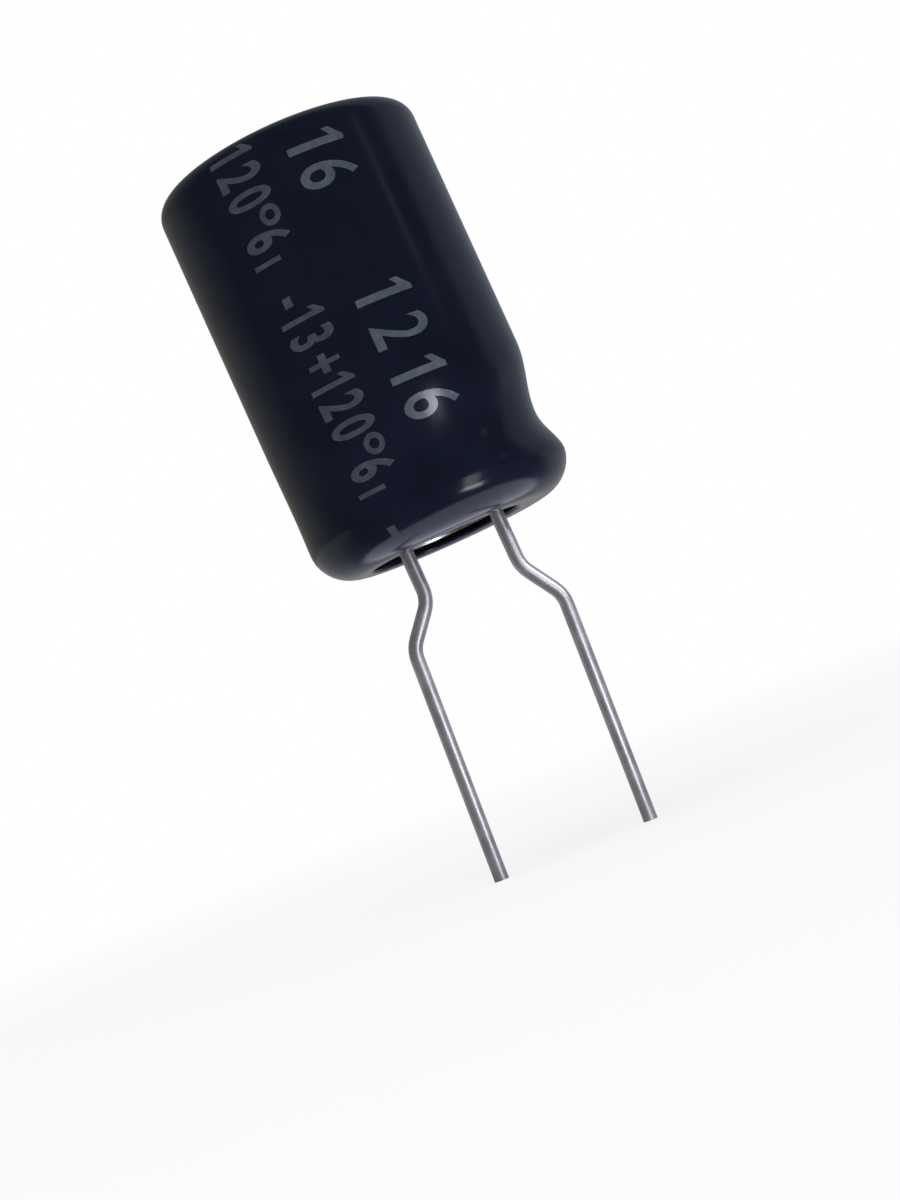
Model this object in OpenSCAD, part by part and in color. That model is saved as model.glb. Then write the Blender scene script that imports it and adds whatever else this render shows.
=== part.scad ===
// Radial electrolytic capacitor in a shrunk sleeve, with two kinked leads.
// The board is the plane z = 0 and the leads go down through it. The origin lies midway between
// the leads. +X runs from the left lead to the right one, and the can leans towards -X.

/* [Can] */
// Outer diameter of the aluminium can
can_d = 8; // [7.6:0.1:9]
// Length of the can, from its curled rim to its closed end
can_l = 12.4; // [11:0.1:16]
// Thickness of the can's wall
can_t = 0.28; // [0.22:0.01:0.32]
// Outer radius of the can's edge at the closed end
can_edge_r = 0.35; // [0.35:0.05:0.8]
// Outer radius of the curl at the open end
curl_r = 1; // [0.9:0.02:1.06]
// Diameter of the opening that the curl leaves
curl_bore_d = 5.2; // [5:0.1:5.4]
// Depth of the bead that is rolled into the can and grips the bung
bead_depth = 0.6; // [0.45:0.05:0.75]

/* [Pressure vent] */
// Length of each stroke of the cross that is scored in the closed end
vent_l = 4.4; // [3:0.1:5]
// Width of a stroke at the surface
vent_w = 0.3; // [0.2:0.02:0.36]

/* [Sleeve] */
// Thickness of the shrunk film
sleeve_t = 0.22; // [0.12:0.02:0.26]
// Diameter of bare metal that the film leaves at the closed end
sleeve_top_d = 6; // [5.4:0.1:6.8]
// Diameter of the opening that the film leaves at the leads' end
sleeve_base_d = 4.9; // [4.4:0.1:5.2]
// Distance by which that opening lies off the can's axis, towards -X
lip_shift = 0.25; // [0:0.05:0.25]

/* [Neck] */
// Height of the neck's deepest line above the base
neck_h = 2.4; // [2.3:0.05:2.9]
// Reach of the neck below its deepest line
neck_low = 1.45; // [1.1:0.05:1.65]
// Reach of the neck above its deepest line
neck_high = 2.25; // [1.4:0.05:2.4]
// Depth of the neck in the film on the right side, where it sinks in most
neck_deep = 0.38; // [0.1:0.02:0.44]
// Depth of the neck in the film on the left side, where the film bridges the bead
neck_shallow = 0.02; // [0:0.02:0.1]

/* [Rubber bung] */
// Height of the bung, from the curl to its inner face
bung_h = 3.6; // [3.2:0.1:4.4]
// Depth of the bung's face inside the base
bung_recess = 0.44; // [0.4:0.02:0.5]
// Rise of the small collar round each lead's hole
collar_h = 0.1; // [0.05:0.01:0.15]
// Diameter of that collar
collar_d = 1; // [0.8:0.05:1.2]

/* [Leads] */
// Diameter of the tinned wire
lead_d = 0.45; // [0.4:0.01:0.5]
// Distance between the leads where they leave the bung
lead_pitch = 3.1; // [2.8:0.1:3.4]
// Distance between the leads at the board
board_pitch = 5; // [4.6:0.1:5.4]
// Length of the leads below the board
lead_l = 6.9; // [3:0.1:12]
// Height of the sleeve's base above the board, midway between the leads
stand_off = 3.35; // [3:0.05:4]
// Height of the kink's upper bends above the board
kink_top_h = 1.8; // [1.7:0.05:2]
// Height of the kink's lower bends above the board
kink_low_h = 0.52; // [0.45:0.01:0.6]
// Radius of the bends, at the middle of the wire
bend_r = 1; // [0.6:0.05:1.1]
// Lean of the can towards -X, in degrees
can_lean = 3.4; // [0:0.1:5]

/* [Tabs] */
// Diameter of the aluminium boss in the bung
boss_d = 1.1; // [0.9:0.05:1.2]
// Depth of the weld between boss and wire, inside the bung's face
weld_in = 0.9; // [0.7:0.05:1.2]
// Width of the flat strip in the winding
strip_w = 1.6; // [1.2:0.1:1.8]
// Thickness of the flat strip
strip_t = 0.2; // [0.15:0.01:0.25]
// Length of the taper from the boss to the strip
taper_l = 0.5; // [0.3:0.05:0.9]
// Distance from the strip's end to the winding's far end
strip_short = 1.2; // [0.6:0.1:2]

/* [Winding] */
// Diameter of the hole that the mandrel leaves
core_d = 1.2; // [0.8:0.1:1.4]
// Pitch of the turns: two foils and two papers
turn_pitch = 0.2; // [0.16:0.01:0.3]
// Thickness of the two papers of a turn
paper_t = 0.08; // [0.05:0.01:0.1]
// Width of paper that stands out past the foil at each end
paper_margin = 0.35; // [0.2:0.05:0.5]
// Gap between the tabs' tapers and the winding
winding_gap = 0.15; // [0.1:0.05:0.4]
// Width of the tape that holds the last turn
tape_w = 5; // [3:0.5:6]
// Thickness of that tape
tape_t = 0.06; // [0.04:0.01:0.1]

/* [Clearances] */
// Gap between the film and the can
film_gap = 0.02; // [0.015:0.005:0.03]
// Gap round the bung, the bosses and the wires
bung_gap = 0.02; // [0.01:0.005:0.03]
// Gap round the winding's tape
winding_fit = 0.1; // [0.05:0.01:0.15]
// Gap between the turns, the strips and the tape
turn_gap = 0.015; // [0.01:0.005:0.02]

/* [Hidden] */
$fn = 96;

// Heights along the can's own axis, from the sleeve's base face
film = film_gap + sleeve_t;
curl_face = film;
curl_end = curl_face + curl_r;
can_end = curl_face + can_l;
bung_seat = curl_face + can_t;
bung_top = bung_seat + bung_h;
weld_z = bung_recess + weld_in;
winding_base = bung_top + taper_l + winding_gap;
winding_top = can_end - can_t - winding_fit;

// Radii
can_r = can_d / 2;
curl_bore_r = curl_bore_d / 2;
winding_r = can_r - can_t - winding_fit - tape_t - turn_gap;
foil_turns = floor((winding_r - core_d / 2) / turn_pitch);

// Thinning of the wire in a bend, and the angle by which a bend runs on into its straights
bend_thin = 0.004;
bend_lap = 2;

// Thickness of the two slices that a tab's taper joins, and overrun of a cut past an open face
slice_t = 0.02;
overrun = 1;

// Steps of the round stretches in an outline, and facets round the film and a tab's taper
arc_steps = 6;
neck_steps = 14;
film_sides = 56;
taper_sides = 32;

// Depth of a groove of the given depth at height z: zero at both ends of the neck's reach
function groove(z, depth) =
    let (reach = z < neck_h ? neck_low : neck_high,
         share = min(abs(z - neck_h) / reach, 1))
    depth * (1 + cos(180 * share)) / 2;

// Depth of the film's neck at an angle round the can, deepest at +X
function film_neck(turn) =
    (neck_deep + neck_shallow) / 2 + (neck_deep - neck_shallow) / 2 * cos(turn);

// Points of an arc about a centre, from one angle to another
function arc(centre, r, from, to) =
    [for (i = [0:arc_steps]) centre + r * [cos(from + (to - from) * i / arc_steps),
                                           sin(from + (to - from) * i / arc_steps)]];

// Points on a straight wall from the curl, which ends below them, to the top of the neck
function neck_wall(r) =
    [for (i = [1:neck_steps]) [r, curl_end + (neck_h + neck_high - curl_end) * i / neck_steps]];

// Outline of the can's outside, moved outwards by d, from radius base_r round to radius top_r
function can_line(d, base_r, top_r) = concat(
    [[base_r, curl_face - d]],
    arc([can_r - curl_r, curl_end], curl_r + d, -90, 0),
    neck_wall(can_r + d),
    arc([can_r - can_edge_r, can_end - can_edge_r], can_edge_r + d, 0, 90),
    [[top_r, can_end + d]]);

// The same points sunk by a groove of the given depth
function sunk(points, depth) = [for (p = points) [p.x - groove(p.y, depth), p.y]];

function reversed(list) = [for (i = [len(list) - 1:-1:0]) list[i]];

// Moves a piece from the can's own axis to its place above the board
module on_can_axis() {
    translate([0, 0, kink_top_h])
        rotate([0, -can_lean, 0])
            translate([0, 0, stand_off - kink_top_h])
                children();
}

// Closed tube through rings of points that all have the same number of points
module ring_skin(rings) {
    count = len(rings[0]);
    function at(i, j) = (i % len(rings)) * count + j % count;
    polyhedron(
        points = [for (ring = rings, p = ring) p],
        faces = [for (i = [0:len(rings) - 1], j = [0:count - 1])
                 [at(i, j), at(i + 1, j), at(i + 1, j + 1), at(i, j + 1)]],
        convexity = 4);
}

// Section of the film at an angle round the can: the lip at the base reaches further in at +X
function film_section(turn) =
    let (base_r = sleeve_base_d / 2 - lip_shift * cos(turn),
         outside = can_line(film, base_r, sleeve_top_d / 2),
         inside = can_line(film_gap, base_r, sleeve_top_d / 2))
    sunk(concat(outside, reversed(inside)), film_neck(turn));

// Shrunk film over the can, open at both ends, with a neck that is deeper on the right
module sleeve() {
    rings = [for (i = [0:film_sides - 1])
             let (turn = 360 * i / film_sides)
             [for (p = film_section(turn)) [p.x * cos(turn), p.x * sin(turn), p.y]]];
    color([0.08, 0.1, 0.15]) on_can_axis() ring_skin(rings);
}

// Deep-drawn can: curled rim, rolled bead and a scored cross in the closed end
module can() {
    outside = sunk(can_line(0, curl_bore_r + can_t / 2, 0), bead_depth);
    inside = sunk(can_line(-can_t, curl_bore_r + can_t / 2, 0), bead_depth);
    rim = arc([curl_bore_r + can_t / 2, curl_face + can_t / 2], can_t / 2, 90, 270);
    rim_middle = [for (i = [1:arc_steps - 1]) rim[i]];
    color([0.8, 0.8, 0.82]) on_can_axis() difference() {
        rotate_extrude() polygon(concat(outside, reversed(inside), rim_middle));
        for (turn = [45, 135])
            translate([0, 0, can_end]) rotate([45, 0, turn])
                cube([vent_l, vent_w / sqrt(2), vent_w / sqrt(2)], center = true);
    }
}

// Rubber bung, waisted by the bead, with a stepped hole for each lead
module bung() {
    gap = can_t + bung_gap;
    corner_r = curl_r - can_t;
    face_r = curl_bore_r - bung_gap;
    rim = concat(
        arc([can_r - curl_r, curl_end], corner_r - bung_gap, -90, 0),
        [for (p = neck_wall(can_r - gap)) if (p.y < bung_top) p],
        [[can_r - gap, bung_top]]);
    waist = [for (p = rim) [p.x - groove(p.y, bead_depth), max(p.y, bung_seat)]];
    outline = concat([[0, bung_recess], [face_r, bung_recess], [face_r, bung_seat]],
                     waist, [[0, bung_top]]);
    color([0.07, 0.07, 0.075]) on_can_axis() difference() {
        union() {
            rotate_extrude() polygon(outline);
            for (side = [-1, 1]) translate([side * lead_pitch / 2, 0, bung_recess - collar_h])
                cylinder(h = collar_h * 2, d = collar_d);
        }
        for (side = [-1, 1]) translate([side * lead_pitch / 2, 0, 0]) {
            cylinder(h = bung_top, d = lead_d + 2 * bung_gap);
            translate([0, 0, weld_z - bung_gap])
                cylinder(h = bung_top, d = boss_d + 2 * bung_gap);
        }
    }
}

// Straight stretch of wire along +Z, with its children at its end
module straight(length) {
    cylinder(h = length, d = lead_d);
    translate([0, 0, length]) children();
}

// Bend of the wire from +Z towards +X, or towards -X where the angle is negative
module bend(angle) {
    centre = [sign(angle) * bend_r, 0, 0];
    translate(centre) {
        rotate([90, 0, 0]) rotate([0, 0, (angle > 0 ? 180 - angle : 0) - bend_lap])
            rotate_extrude(angle = abs(angle) + 2 * bend_lap)
                translate([bend_r, 0]) circle(d = lead_d - bend_thin);
        rotate([0, angle, 0]) translate(-centre) children();
    }
}

// Tinned wire: from its cut end up through the board and the kink, and along the can's axis to its weld
module lead(side) {
    spread = (board_pitch - lead_pitch / cos(can_lean)) / 2;
    rise = kink_top_h - kink_low_h;
    kink = atan2(spread, rise);
    back = side * kink - can_lean;
    low_cut = bend_r * tan(kink / 2);
    top_cut = bend_r * tan(abs(back) / 2);
    to_weld = stand_off - kink_top_h + weld_z + side * lead_pitch / 2 * tan(can_lean);
    color([0.72, 0.71, 0.74]) translate([side * board_pitch / 2, 0, -lead_l])
        straight(lead_l + kink_low_h - low_cut)
            bend(-side * kink)
                straight(norm([spread, rise]) - low_cut - top_cut)
                    bend(back)
                        straight(to_weld - top_cut);
}

module anode_lead() { lead(-1); }

module cathode_lead() { lead(1); }

// Aluminium tab: a round boss in the bung that is pressed flat into a strip between the turns
module tab(side) {
    taper_base = bung_top;
    strip_base = taper_base + taper_l;
    strip_end = winding_top - strip_short;
    color([0.82, 0.82, 0.83]) on_can_axis() translate([side * lead_pitch / 2, 0, 0]) {
        translate([0, 0, weld_z]) cylinder(h = taper_base - weld_z, d = boss_d);
        hull() {
            translate([0, 0, taper_base]) cylinder(h = slice_t, d = boss_d, $fn = taper_sides);
            translate([-strip_t / 2, -strip_w / 2, strip_base - slice_t])
                cube([strip_t, strip_w, slice_t]);
        }
        translate([-strip_t / 2, -strip_w / 2, strip_base])
            cube([strip_t, strip_w, strip_end - strip_base]);
    }
}

module anode_tab() { tab(-1); }

module cathode_tab() { tab(1); }

// Comb of paper edges that stand out past the foils, as [radius, height of the edge] pairs
function turn_edges(face, foot) =
    [for (i = [0:foil_turns - 1],
          p = [[0, face], [paper_t, face], [paper_t, foot], [turn_pitch, foot]])
     [core_d / 2 + i * turn_pitch + p.x, p.y]];

// Rolled foils and papers as one piece, with the mandrel's hole and a slot for each tab
module winding() {
    outer_paper = core_d / 2 + foil_turns * turn_pitch;
    lower = concat(turn_edges(winding_base, winding_base + paper_margin),
                   [[outer_paper, winding_base], [winding_r, winding_base]]);
    upper = concat(turn_edges(winding_top, winding_top - paper_margin),
                   [[outer_paper, winding_top], [winding_r, winding_top]]);
    slot_t = strip_t + 2 * turn_gap;
    slot_w = strip_w + 2 * turn_gap;
    slot_end = winding_top - strip_short + turn_gap;
    color([0.72, 0.62, 0.45]) on_can_axis() difference() {
        rotate_extrude() polygon(concat(lower, reversed(upper)));
        for (side = [-1, 1])
            translate([side * lead_pitch / 2 - slot_t / 2, -slot_w / 2, winding_base - overrun])
                cube([slot_t, slot_w, slot_end - winding_base + overrun]);
    }
}

// Tape round the last turn
module winding_tape() {
    color([0.85, 0.75, 0.35]) on_can_axis()
        translate([0, 0, (winding_base + winding_top - tape_w) / 2]) difference() {
            cylinder(h = tape_w, r = winding_r + turn_gap + tape_t);
            translate([0, 0, -overrun])
                cylinder(h = tape_w + 2 * overrun, r = winding_r + turn_gap);
        }
}

sleeve();
can();
bung();
anode_lead();
cathode_lead();
anode_tab();
cathode_tab();
winding();
winding_tape();
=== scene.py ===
import math

import bmesh
import bpy
from mathutils import Matrix, Vector


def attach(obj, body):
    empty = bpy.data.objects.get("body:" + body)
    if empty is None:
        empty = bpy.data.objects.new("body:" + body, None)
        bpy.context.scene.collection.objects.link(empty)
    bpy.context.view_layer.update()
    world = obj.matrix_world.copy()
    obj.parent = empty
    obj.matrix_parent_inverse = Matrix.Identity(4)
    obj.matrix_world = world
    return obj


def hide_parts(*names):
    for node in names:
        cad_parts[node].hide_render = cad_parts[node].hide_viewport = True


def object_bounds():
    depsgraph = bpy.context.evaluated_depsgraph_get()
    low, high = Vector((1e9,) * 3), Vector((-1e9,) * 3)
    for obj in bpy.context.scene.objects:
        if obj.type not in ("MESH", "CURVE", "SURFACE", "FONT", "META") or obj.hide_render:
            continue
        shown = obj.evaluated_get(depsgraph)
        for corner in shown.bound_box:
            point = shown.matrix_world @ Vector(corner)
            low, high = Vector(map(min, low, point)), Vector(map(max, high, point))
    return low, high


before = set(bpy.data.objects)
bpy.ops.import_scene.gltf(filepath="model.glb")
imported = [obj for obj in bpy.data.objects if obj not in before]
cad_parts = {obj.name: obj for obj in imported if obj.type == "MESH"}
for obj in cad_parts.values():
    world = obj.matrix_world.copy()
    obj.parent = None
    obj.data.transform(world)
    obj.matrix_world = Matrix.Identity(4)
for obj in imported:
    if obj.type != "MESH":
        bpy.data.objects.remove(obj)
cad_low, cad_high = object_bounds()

# Sizes are in millimetres and turns in degrees. A mesh is scaled to metres as it is finished.
MM = 0.001

# The can's own axis: it pivots at the upper end of the kinks, and leans towards -X
KINK_TOP = 1.8
STAND_OFF = 3.35
CAN_LEAN = 3.4

# The can under the film
CAN_R = 4.0
CAN_LENGTH = 12.4
CURL_R = 1.0
EDGE_R = 0.35

# The film, its openings, and the neck that the bead gives it
FILM_GAP = 0.02
FILM_T = 0.22
LIP_TOP_R = 3.0
LIP_BASE_R = 2.45
LIP_SHIFT = 0.25
NECK_HEIGHT = 2.4
NECK_BELOW = 1.45
NECK_ABOVE = 2.25
NECK_DEEP = 0.38
NECK_SHALLOW = 0.02

# Heights along the can's axis, from the film's base face
CURL_FACE = FILM_GAP + FILM_T
CURL_END = CURL_FACE + CURL_R
CAN_END = CURL_FACE + CAN_LENGTH
EDGE_START = CAN_END - EDGE_R

# Steps round the film, and along its curves
FILM_SIDES = 192
ARC_STEPS = 12
LIP_STEPS = 8
NECK_STEPS = 48
WALL_STEPS = 24
FLAT_STEPS = 6

# Points closer than this are one: in metres in a finished piece, and as a share of a flat figure's
# height in that figure
MERGE = 1e-7
FLAT_MERGE = 1e-5


def can_axis_place():
    """Matrix from the can's own axis, in millimetres, to the frame, in metres."""
    return (Matrix.Scale(MM, 4)
            @ Matrix.Translation((0, 0, KINK_TOP))
            @ Matrix.Rotation(math.radians(-CAN_LEAN), 4, "Y")
            @ Matrix.Translation((0, 0, STAND_OFF - KINK_TOP)))


def neck_depth(angle, height):
    """How far the film sinks at an angle from +X, in radians, and a height above its base."""
    reach = NECK_BELOW if height < NECK_HEIGHT else NECK_ABOVE
    share = min(abs(height - NECK_HEIGHT) / reach, 1)
    mean = (NECK_DEEP + NECK_SHALLOW) / 2
    swing = (NECK_DEEP - NECK_SHALLOW) / 2
    return (mean + swing * math.cos(angle)) * (1 + math.cos(math.pi * share)) / 2


def film_radius(angle, height):
    """Radius of the film's outside at an angle from +X, in radians, and a height above its base."""
    film = FILM_GAP + FILM_T
    radius = CAN_R + film
    if height < CURL_END:
        curl = CURL_R + film
        radius += math.sqrt(curl ** 2 - (CURL_END - height) ** 2) - curl
    if height > EDGE_START:
        edge = EDGE_R + film
        radius += math.sqrt(edge ** 2 - (height - EDGE_START) ** 2) - edge
    return radius - neck_depth(angle, height)


def arc(centre, radius, start, end, steps=ARC_STEPS):
    """Points [across, up] along an arc, its angles in degrees."""
    angles = [math.radians(start + (end - start) * i / steps) for i in range(steps + 1)]
    return [(centre[0] + radius * math.cos(a), centre[1] + radius * math.sin(a)) for a in angles]


def line(start, end, steps):
    """Points along a straight stretch, without its two ends."""
    return [(start[0] + (end[0] - start[0]) * i / steps, start[1] + (end[1] - start[1]) * i / steps)
            for i in range(1, steps)]


def film_side(offset, lip_r):
    """The film's line at an offset from the can's outside, from the base lip to the top's edge."""
    radius = CAN_R + offset
    neck_end = NECK_HEIGHT + NECK_ABOVE
    base = CURL_FACE - offset
    return (line((lip_r, base), (CAN_R - CURL_R, base), FLAT_STEPS)
            + arc((CAN_R - CURL_R, CURL_END), CURL_R + offset, -90, 0)
            + line((radius, CURL_END), (radius, neck_end), NECK_STEPS)
            + line((radius, neck_end), (radius, EDGE_START), WALL_STEPS)
            + arc((CAN_R - EDGE_R, EDGE_START), EDGE_R + offset, 0, 90))


def film_section():
    """Closed section of the film, with a rounded edge at each of its two openings."""
    half = FILM_T / 2
    middle = FILM_GAP + half
    base_edge = arc((LIP_BASE_R + half, CURL_FACE - middle), half, 90, 270, LIP_STEPS)
    top_edge = arc((LIP_TOP_R + half, CAN_END + middle), half, 90, 270, LIP_STEPS)
    outside = film_side(FILM_GAP + FILM_T, LIP_BASE_R + half)
    inside = film_side(FILM_GAP, LIP_BASE_R + half)
    return base_edge + outside + top_edge + inside[::-1]


def shape_film(work):
    """Sinks the spun film at its neck and draws its base opening to one side."""
    for vert in work.verts:
        radius = math.hypot(vert.co.x, vert.co.y)
        angle = math.atan2(vert.co.y, vert.co.x)
        if vert.co.z <= CURL_FACE:
            share = (CAN_R - CURL_R - radius) / (CAN_R - CURL_R - LIP_BASE_R)
            radius -= LIP_SHIFT * math.cos(angle) * min(max(share, 0), 1)
        radius -= neck_depth(angle, vert.co.z)
        vert.co.x, vert.co.y = radius * math.cos(angle), radius * math.sin(angle)


def finish_piece(work, name, material, smooth=True):
    """Puts a bmesh from the can's axis in the frame and makes it a piece on the root body."""
    work.transform(can_axis_place())
    bmesh.ops.remove_doubles(work, verts=work.verts, dist=MERGE)
    bmesh.ops.recalc_face_normals(work, faces=work.faces)
    for face in work.faces:
        face.smooth = smooth
    mesh = bpy.data.meshes.new(name)
    work.to_mesh(mesh)
    work.free()
    mesh.materials.append(material)
    piece = bpy.data.objects.new(name, mesh)
    bpy.context.scene.collection.objects.link(piece)
    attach(piece, "root")
    return piece


def make_film(material):
    """The shrunk film: its section spun round the can's axis, then shaped."""
    work = bmesh.new()
    points = [work.verts.new((across, 0, up)) for across, up in film_section()]
    edges = [work.edges.new((points[i - 1], points[i])) for i in range(len(points))]
    bmesh.ops.spin(work, geom=points + edges, cent=(0, 0, 0), axis=(0, 0, 1),
                   angle=math.tau, steps=FILM_SIDES, use_merge=True)
    shape_film(work)
    film = finish_piece(work, "shrunk_film", material)
    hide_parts("sleeve")
    return film


# Print on the film: rows that read down the can, the tops of their figures to the right
INK_T = 0.004
INK_LIFT = 0.001
INK_GRID = 0.12
PRINT_PERIOD = 7.27
PRINT_REPEATS = (-1, 0, 1)
PRINT_BOTTOM = CURL_END / 3
PRINT_TOP = 12.7

# Each row: its figures and their heights on the can, its turn, its figures' height, how much
# they are narrowed, and how much their strokes are thickened
LARGE_ROW = {"figures": [("1", 6.91), ("2", 5.76), ("1", 4.45), ("6", 3.52)],
             "turn": 1.5, "cap": 1.76, "width": 0.68, "weight": 0.01}
SMALL_ROW = {"figures": [("-", 7.85), ("1", 7.25), ("3", 6.62), ("+", 5.8), ("1", 5.13),
                         ("2", 4.5), ("0", 3.78), ("ring", 3.1), ("6", 2.48), ("bar", 1.86)],
             "turn": -32, "cap": 1.46, "width": 0.56, "weight": 0.025}

# Figures drawn one by one, 1 high: the 1 in two outlines, the bar and the ring
ONE_STEM = ((0.1, -0.5), (0.1, 0.5), (-0.03, 0.5), (-0.09, 0.45), (-0.09, 0.28), (-0.09, -0.5))
ONE_FLAG = ((-0.09, 0.28), (-0.09, 0.45), (-0.29, 0.31), (-0.29, 0.17))
BAR = ((0.09, -0.5), (0.09, 0.12), (-0.09, 0.12), (-0.09, -0.5))
RING_R = 0.22
RING_HOLE = 0.48
RING_SIDES = 40
FONT_STEPS = 6


def plain_figure(*outlines):
    """A flat figure of height 1 from outlines that share their meeting points."""
    work = bmesh.new()
    for outline in outlines:
        work.faces.new([work.verts.new((x, y, 0)) for x, y in outline])
    bmesh.ops.remove_doubles(work, verts=work.verts, dist=FLAT_MERGE)
    return work


def ring_figure():
    """A small raised ring, drawn wide so that it is round once its row narrows it."""
    work = bmesh.new()
    bmesh.ops.create_circle(work, segments=RING_SIDES, radius=RING_R)
    grown = bmesh.ops.extrude_edge_only(work, edges=work.edges[:])
    inner = [v for v in grown["geom"] if isinstance(v, bmesh.types.BMVert)]
    bmesh.ops.scale(work, verts=inner, vec=(RING_HOLE, RING_HOLE, 1))
    bmesh.ops.scale(work, verts=work.verts, vec=(1 / SMALL_ROW["width"], 1, 1))
    bmesh.ops.translate(work, verts=work.verts, vec=(0, 0.5 - RING_R, 0))
    return work


def font_figure(text, weight):
    """A flat figure from the plain built-in letters, as high as they draw it."""
    curve = bpy.data.curves.new("figure", "FONT")
    curve.body = text
    curve.resolution_u = FONT_STEPS
    curve.offset = weight
    holder = bpy.data.objects.new("figure", curve)
    bpy.context.scene.collection.objects.link(holder)
    bpy.context.view_layer.update()
    graph = bpy.context.evaluated_depsgraph_get()
    mesh = bpy.data.meshes.new_from_object(holder.evaluated_get(graph))
    work = bmesh.new()
    work.from_mesh(mesh)
    bmesh.ops.remove_doubles(work, verts=work.verts, dist=FLAT_MERGE)
    bpy.data.objects.remove(holder)
    bpy.data.curves.remove(curve)
    bpy.data.meshes.remove(mesh)
    return work


def extent(work, axis):
    """Lowest and highest coordinate of a bmesh along an axis."""
    values = [vert.co[axis] for vert in work.verts]
    return min(values), max(values)


def flat_figure(kind, weight):
    """A figure, a digit 1 high, centred across and about a digit's middle height."""
    if kind == "1":
        return plain_figure(ONE_STEM, ONE_FLAG)
    if kind == "bar":
        return plain_figure(BAR)
    if kind == "ring":
        return ring_figure()
    # The 7 is level at its top and bottom, so it gives the height of a digit
    digit = font_figure("7", weight)
    bottom, top = extent(digit, 1)
    digit.free()
    work = font_figure(kind, weight)
    left, right = extent(work, 0)
    centre = Vector(((left + right) / 2, (bottom + top) / 2, 0))
    size = 1 / (top - bottom)
    bmesh.ops.translate(work, verts=work.verts, vec=-centre)
    bmesh.ops.scale(work, verts=work.verts, vec=(size, size, size))
    return work


def cut_along(work, axis, step):
    """Cuts a flat figure at even steps along an axis, so that it can follow the film."""
    low, high = extent(work, axis)
    normal = Vector((axis == 0, axis == 1, 0))
    for i in range(math.ceil(low / step), math.ceil(high / step)):
        geometry = work.verts[:] + work.edges[:] + work.faces[:]
        bmesh.ops.bisect_plane(work, geom=geometry, plane_co=normal * (i * step), plane_no=normal)


def thicken(work):
    """Gives a flat figure the thickness of the ink."""
    grown = bmesh.ops.extrude_face_region(work, geom=work.faces[:])
    top = [v for v in grown["geom"] if isinstance(v, bmesh.types.BMVert)]
    bmesh.ops.translate(work, verts=top, vec=(0, 0, INK_T))


def wrap_on_film(work, turn, height):
    """Lays a flat figure on the film: its +X runs down the can, its +Y round it to the right."""
    for vert in work.verts:
        up = height - vert.co.x
        angle = math.radians(turn - 90) + vert.co.y / (CAN_R + CURL_FACE)
        radius = film_radius(angle, up) + INK_LIFT + vert.co.z
        vert.co = (radius * math.cos(angle), radius * math.sin(angle), up)


def make_row(name, row, material):
    """A printed row at one turn round the can, repeated up and down it."""
    print_mesh = bmesh.new()
    heights = [(kind, height + k * PRINT_PERIOD)
               for k in PRINT_REPEATS for kind, height in row["figures"]]
    for kind, height in heights:
        work = flat_figure(kind, row["weight"])
        size = (row["cap"] * row["width"], row["cap"], 1)
        bmesh.ops.scale(work, verts=work.verts, vec=size)
        low, high = extent(work, 0)
        if height - high > PRINT_BOTTOM and height - low < PRINT_TOP:
            cut_along(work, 0, INK_GRID)
            cut_along(work, 1, INK_GRID)
            thicken(work)
            wrap_on_film(work, row["turn"], height)
            figure = bpy.data.meshes.new("figure")
            work.to_mesh(figure)
            print_mesh.from_mesh(figure)
            bpy.data.meshes.remove(figure)
        work.free()
    return finish_piece(print_mesh, name, material, smooth=False)


class Value:
    """A socket in a node tree. Python's operators on it add Math nodes."""

    def __init__(self, nodes, socket):
        self.nodes, self.socket = nodes, socket

    def __add__(self, other):
        return self.nodes.maths("ADD", self, other)

    def __sub__(self, other):
        return self.nodes.maths("SUBTRACT", self, other)

    def __rsub__(self, other):
        return self.nodes.maths("SUBTRACT", other, self)

    def __mul__(self, other):
        return self.nodes.maths("MULTIPLY", self, other)

    __radd__ = __add__
    __rmul__ = __mul__


class Nodes:
    """Adds nodes to one tree."""

    def __init__(self, tree):
        self.tree = tree

    def feed(self, node, values):
        """Gives a node's sockets their values or links."""
        for key, value in values.items():
            if isinstance(value, Value):
                self.tree.links.new(value.socket, node.inputs[key])
            else:
                node.inputs[key].default_value = value

    def node(self, kind, settings, values, output=0):
        """Makes any node and returns one of its outputs."""
        made = self.tree.nodes.new(kind)
        for key, value in settings.items():
            setattr(made, key, value)
        self.feed(made, values)
        return Value(self, made.outputs[output])

    def surface(self, kind, shader):
        """Ends the tree in an output node."""
        self.feed(self.tree.nodes.new(kind), {"Surface": shader})

    def maths(self, operation, first, second):
        """Two values put together by a Math node."""
        return self.node("ShaderNodeMath", {"operation": operation}, {0: first, 1: second})

    def ray(self, kind):
        """1 for one kind of ray, and 0 for the others."""
        return self.node("ShaderNodeLightPath", {}, {}, kind)

    def blend(self, share, first, second):
        """Two colours mixed by a share."""
        return self.node("ShaderNodeMix", {"data_type": "RGBA"}, {0: share, 6: first, 7: second}, 2)

    def ramp(self, value, low, high, to_low, to_high):
        """A value taken from one range to another, and held at its ends."""
        return self.node("ShaderNodeMapRange", {},
                         {"Value": value, "From Min": low, "From Max": high,
                          "To Min": to_low, "To Max": to_high})


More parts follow.
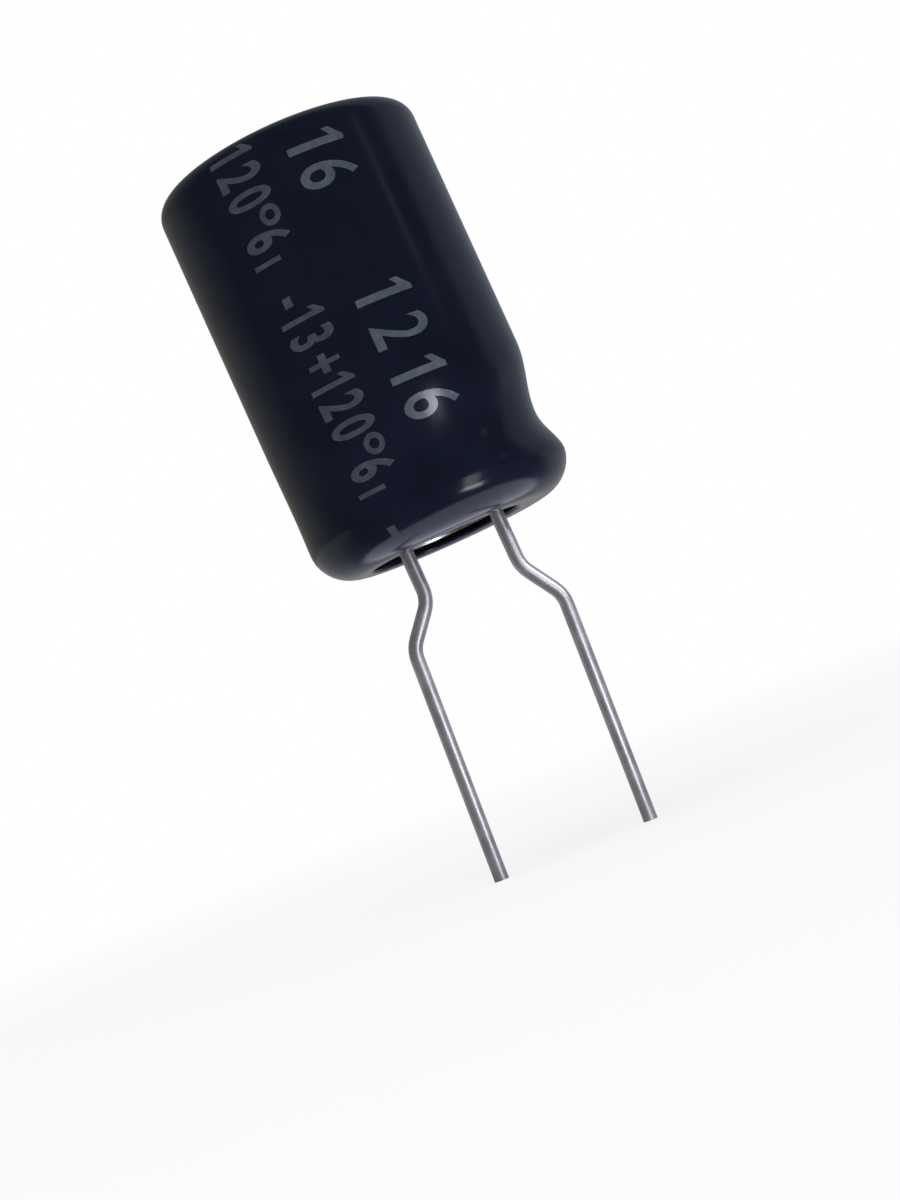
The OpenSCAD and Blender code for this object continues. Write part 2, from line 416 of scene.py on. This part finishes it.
class Finish(Nodes):
    """One material, its patterns laid in Object coordinates."""

    def __init__(self, name, settings):
        self.material = bpy.data.materials.new(name)
        self.material.use_nodes = True
        super().__init__(self.material.node_tree)
        self.shader = next(n for n in self.tree.nodes if n.type == "BSDF_PRINCIPLED")
        self.feed(self.shader, settings)

    def noise(self, size, detail=3, scale=(1, 1, 1)):
        """Noise with features of about size millimetres, stretched by a scale."""
        spot = self.node("ShaderNodeTexCoord", {}, {}, "Object")
        spot = self.node("ShaderNodeMapping", {}, {"Vector": spot, "Scale": [s / MM for s in scale]})
        return self.node("ShaderNodeTexNoise", {},
                         {"Vector": spot, "Scale": 1 / size, "Detail": detail})

    def bump(self, height, strength, distance):
        """A relief, its depth in millimetres."""
        return self.node("ShaderNodeBump", {}, {"Height": height, "Strength": strength,
                                                "Distance": distance * MM})

    def done(self, values):
        """Feeds the patterns to the shader and returns the material."""
        self.feed(self.shader, values)
        return self.material


# Shares of a noise between which a finish goes from one end to the other, gently or sharply
GENTLE = (0.3, 0.7)
SHARP = (0.35, 0.65)

# Colours of the ink where it is thin and where it is full
LARGE_DIM = (0.075, 0.092, 0.14, 1)
LARGE_BRIGHT = (0.105, 0.125, 0.185, 1)
SMALL_DIM = (0.045, 0.053, 0.08, 1)
SMALL_BRIGHT = (0.066, 0.076, 0.11, 1)


def film_finish():
    """Blue-black shrunk film: glossy, faintly uneven, a little duller in patches."""
    make = Finish("film_black", {"Specular IOR Level": 0.4, "IOR": 1.45})
    cloud = make.noise(1.6)
    swell = make.noise(2.6, 2)
    grain = make.noise(0.1, 2)
    colour = make.blend(make.ramp(cloud, *SHARP, 0, 1),
                        (0.0042, 0.0060, 0.0155, 1), (0.0056, 0.0082, 0.0205, 1))
    return make.done({
        "Base Color": colour,
        "Roughness": make.ramp(cloud, *GENTLE, 0.15, 0.2),
        "Normal": make.bump(swell + grain * 0.012, 0.3, 0.05)})


def ink_finish(name, dim, bright):
    """Blue-grey ink, thinner in places so that the film shows through."""
    make = Finish(name, {"Metallic": 0.2, "Specular IOR Level": 1.0, "IOR": 2.0})
    patch = make.noise(0.35, 4)
    return make.done({
        "Base Color": make.blend(make.ramp(patch, *SHARP, 0, 1), dim, bright),
        "Roughness": make.ramp(patch, *GENTLE, 0.2, 0.3)})


def wire_finish():
    """Tinned wire: soft metal with fine drawn lines and dull patches."""
    make = Finish("tinned", {"Metallic": 0.85})
    lines = make.noise(0.08, 2, (1, 1, 0.03))
    patch = make.noise(0.6, 2)
    return make.done({
        "Base Color": make.blend(make.ramp(patch, *GENTLE, 0, 1),
                                 (0.58, 0.56, 0.61, 1), (0.76, 0.74, 0.79, 1)),
        "Roughness": make.ramp(patch + lines * 0.15, 0.35, 0.8, 0.34, 0.44),
        "Normal": make.bump(patch, 0.06, 0.02)})


def can_finish():
    """Drawn aluminium with faint marks from the punch."""
    make = Finish("drawn_aluminium", {"Metallic": 1.0})
    marks = make.noise(0.3, 4)
    fine = make.noise(0.06, 2)
    return make.done({
        "Base Color": make.blend(marks, (0.68, 0.69, 0.7, 1), (0.82, 0.83, 0.84, 1)),
        "Roughness": make.ramp(marks, *GENTLE, 0.24, 0.38),
        "Normal": make.bump(fine, 0.15, 0.01)})


def rubber_finish():
    """Moulded black rubber, matt and slightly pitted."""
    make = Finish("bung_black", {"Specular IOR Level": 0.3})
    pits = make.noise(0.08)
    patch = make.noise(0.9, 2)
    return make.done({
        "Base Color": make.blend(patch, (0.014, 0.014, 0.017, 1), (0.032, 0.032, 0.038, 1)),
        "Roughness": make.ramp(patch, *GENTLE, 0.55, 0.75),
        "Normal": make.bump(pits, 0.4, 0.02)})


def tab_finish():
    """Plain pressed aluminium of the tabs."""
    make = Finish("tab_aluminium", {"Metallic": 1.0})
    marks = make.noise(0.15, 3, (1, 1, 0.2))
    return make.done({
        "Base Color": make.blend(marks, (0.66, 0.66, 0.68, 1), (0.8, 0.8, 0.82, 1)),
        "Roughness": make.ramp(marks, *GENTLE, 0.3, 0.45)})


def paper_finish():
    """Soaked paper of the roll."""
    make = Finish("soaked_paper", {})
    fibre = make.noise(0.1, 4, (1, 1, 0.4))
    return make.done({
        "Base Color": make.blend(fibre, (0.42, 0.33, 0.2, 1), (0.6, 0.5, 0.34, 1)),
        "Roughness": make.ramp(fibre, *GENTLE, 0.45, 0.65),
        "Normal": make.bump(fibre, 0.3, 0.02)})


def tape_finish():
    """Amber tape round the roll."""
    make = Finish("amber_tape", {"Specular IOR Level": 0.4})
    patch = make.noise(0.7, 2)
    return make.done({
        "Base Color": make.blend(patch, (0.6, 0.42, 0.1, 1), (0.72, 0.55, 0.2, 1)),
        "Roughness": make.ramp(patch, *GENTLE, 0.3, 0.45)})


def dress_nodes():
    """Gives each CAD node that stays its finish, and returns those nodes."""
    wire, tab = wire_finish(), tab_finish()
    finishes = {"can": can_finish(), "bung": rubber_finish(), "anode_lead": wire,
                "cathode_lead": wire, "anode_tab": tab, "cathode_tab": tab,
                "winding": paper_finish(), "winding_tape": tape_finish()}
    for name, material in finishes.items():
        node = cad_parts[name]
        node.data.materials.clear()
        node.data.materials.append(material)
    return [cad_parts[name] for name in finishes]


# The camera's place and turns, its lens, and its clip distances in metres
CAMERA_PLACE = (-13.705, -59.564, -1.946)
CAMERA_TURN = (93.529, 20.979, -10.866)
CAMERA_LENS = 60.0
CAMERA_SENSOR = 36
CAMERA_CLIP = (0.001, 10)


def make_camera():
    """A close view from a little below the can, rolled to one side."""
    data = bpy.data.cameras.new("camera")
    data.lens = CAMERA_LENS
    data.sensor_width = CAMERA_SENSOR
    data.clip_start, data.clip_end = CAMERA_CLIP
    camera = bpy.data.objects.new("camera", data)
    camera.location = [MM * v for v in CAMERA_PLACE]
    camera.rotation_euler = [math.radians(v) for v in CAMERA_TURN]
    bpy.context.scene.collection.objects.link(camera)
    bpy.context.scene.camera = camera


# Places that the lamps aim at
CAN_MIDDLE = (-0.5, 0, 9.5)
KINK_FRONT = (0, -4, -0.4)
LOW_CORNER = (0, -4, 4)
BASE_MIDDLE = (3, 2, 3)
LAMP_COLOUR = (0.92, 0.96, 1)
UNDER_COLOUR = (0.83, 0.82, 1)

# Each lamp: the place it aims at, its turn, its rise, its distance, its size and its power in watts
LAMPS = {"front": (KINK_FRONT, 21, 0, 20, (5, 11), 0.00055),
         "low": (LOW_CORNER, 24, -33, 16, (5, 2.5), 0.0004),
         "under": (BASE_MIDDLE, 0, -90, 9.8, (24, 24), 0.0023),
         "kinks": (KINK_FRONT, 48, 24, 60, (14, 10), 0.011),
         "side": (CAN_MIDDLE, 56, 18.5, 90, (5, 14), 0.00015),
         "over": (CAN_MIDDLE, -30, 65, 150, (130, 130), 0.12)}


def make_lamp(name, aim, turn, rise, distance, size, power):
    """A soft lamp aimed at a place, from a turn right of -Y and a rise above level."""
    data = bpy.data.lights.new(name, "AREA")
    data.shape = "RECTANGLE"
    data.size, data.size_y = size[0] * MM, size[1] * MM
    data.energy = power
    data.color = LAMP_COLOUR
    lamp = bpy.data.objects.new(name, data)
    a, e = math.radians(turn), math.radians(rise)
    way = Vector((math.sin(a) * math.cos(e), -math.cos(a) * math.cos(e), math.sin(e)))
    lamp.location = MM * (Vector(aim) + distance * way)
    lamp.rotation_euler = (-way).to_track_quat("-Z", "Y").to_euler()
    lamp.visible_camera = False
    bpy.context.scene.collection.objects.link(lamp)
    return lamp


def keep_to(lamp, pieces):
    """Lets a lamp light some pieces and nothing else."""
    lit = bpy.data.collections.new(lamp.name)
    for piece in pieces:
        lit.objects.link(piece)
    lamp.light_linking.receiver_collection = lit


def light_part(part, film):
    """Small near lamps that make the glints on the part alone, and two far ones that light all."""
    lamps = {name: make_lamp(name, *values) for name, values in LAMPS.items()}
    keep_to(lamps["front"], part)
    keep_to(lamps["low"], part)
    keep_to(lamps["under"], [film])
    keep_to(lamps["kinks"], [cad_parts[name] for name in ("anode_lead", "cathode_lead")])
    lamps["under"].data.shape = "DISK"
    lamps["under"].data.color = UNDER_COLOUR
    lamps["over"].visible_glossy = False


# What the room gives: light on matt surfaces, and what gloss mirrors in front and on each side,
# with the turns between which it goes from the front to a side
ROOM_LIGHT = 0.55
ROOM_FRONT = 0.07
ROOM_LEFT = 0.22
ROOM_RIGHT = 0.32
LEFT_TINT = (1, 1, 0.85, 1)
RIGHT_TINT = (0.87, 0.98, 1.18, 1)
WHITE = (1, 1, 1, 1)
RIGHT_EDGE = (78, 86)
LEFT_EDGE = (-130, -96)


def make_room():
    """A pale room, white to the camera; gloss mirrors it dim in front and paler on both sides."""
    world = bpy.data.worlds.new("room")
    bpy.context.scene.world = world
    world.use_nodes = True
    world.node_tree.nodes.clear()
    make = Nodes(world.node_tree)
    way = make.node("ShaderNodeTexCoord", {}, {}, "Generated")
    across = make.node("ShaderNodeSeparateXYZ", {}, {0: way}, "X")
    ahead = make.node("ShaderNodeSeparateXYZ", {}, {0: way}, "Y")
    turn = make.maths("ARCTAN2", across, 0 - ahead)
    right = make.ramp(turn, *[math.radians(v) for v in RIGHT_EDGE], 0, 1)
    left = make.ramp(turn, *[math.radians(v) for v in LEFT_EDGE], 1, 0)
    mirrored = right * (ROOM_RIGHT - ROOM_FRONT) + left * (ROOM_LEFT - ROOM_FRONT) + ROOM_FRONT
    tint = make.blend(right, LEFT_TINT, RIGHT_TINT)
    glossy = make.ray("Is Glossy Ray")
    seen = make.maths("MAXIMUM", make.ray("Is Camera Ray"), make.ray("Is Transmission Ray"))
    strength = (1 - seen) * (glossy * mirrored + (1 - glossy) * ROOM_LIGHT) + seen
    back = make.node("ShaderNodeBackground", {}, {"Color": make.blend(glossy, WHITE, tint),
                                                  "Strength": strength})
    make.surface("ShaderNodeOutputWorld", back)


# The floor: how much of its white is its own near and far, and how bright it glows for gloss as a
# painted reflection, in front of the part and behind it
FLOOR_SIZE = 2000
FLOOR_WHITE = (0.92, 0.92, 0.92, 1)
FLOOR_OWN = (0.75, 1)
FLOOR_REACH = (25, 80)
FLOOR_FRONT = 0.08
FLOOR_BEHIND = 0.38
FLOOR_EDGE = (0, 14)


def floor_finish():
    """White that keeps a soft shadow near the part; for gloss it glows as a painted reflection, dim
    in front of the part.
    """
    material = bpy.data.materials.new("floor_white")
    material.use_nodes = True
    material.node_tree.nodes.clear()
    make = Nodes(material.node_tree)
    spot = make.node("ShaderNodeTexCoord", {}, {}, "Object")
    away = make.node("ShaderNodeVectorMath", {"operation": "LENGTH"}, {0: spot}, "Value")
    behind = make.node("ShaderNodeSeparateXYZ", {}, {0: spot}, "Y")
    # Painted reflection: for gloss the floor glows, dim in front of the part and brighter behind it
    mirrored = make.ramp(behind, *[MM * v for v in FLOOR_EDGE], FLOOR_FRONT, FLOOR_BEHIND)
    glossy = make.ray("Is Glossy Ray")
    lit = make.node("ShaderNodeBsdfDiffuse", {}, {"Color": FLOOR_WHITE})
    own = make.node("ShaderNodeEmission", {}, {"Strength": glossy * mirrored + (1 - glossy)})
    white = make.ramp(away, *[MM * v for v in FLOOR_REACH], *FLOOR_OWN)
    share = make.ray("Is Camera Ray") * white + glossy
    mixed = make.node("ShaderNodeMixShader", {}, {0: share, 1: lit, 2: own})
    make.surface("ShaderNodeOutputMaterial", mixed)
    return material


def make_floor():
    """A plain floor under the leads' ends."""
    work = bmesh.new()
    bmesh.ops.create_grid(work, x_segments=1, y_segments=1, size=FLOOR_SIZE / 2 * MM)
    mesh = bpy.data.meshes.new("floor")
    work.to_mesh(mesh)
    work.free()
    mesh.materials.append(floor_finish())
    floor = bpy.data.objects.new("floor", mesh)
    floor.location.z = cad_low.z
    bpy.context.scene.collection.objects.link(floor)


make_camera()
make_room()
make_floor()
nodes = dress_nodes()
film = make_film(film_finish())
large = make_row("large_figures", LARGE_ROW,
                 ink_finish("large_ink", LARGE_DIM, LARGE_BRIGHT))
small = make_row("small_figures", SMALL_ROW,
                 ink_finish("small_ink", SMALL_DIM, SMALL_BRIGHT))
light_part([*nodes, film, large, small], film)

bpy.context.scene.view_settings.view_transform = "Standard"
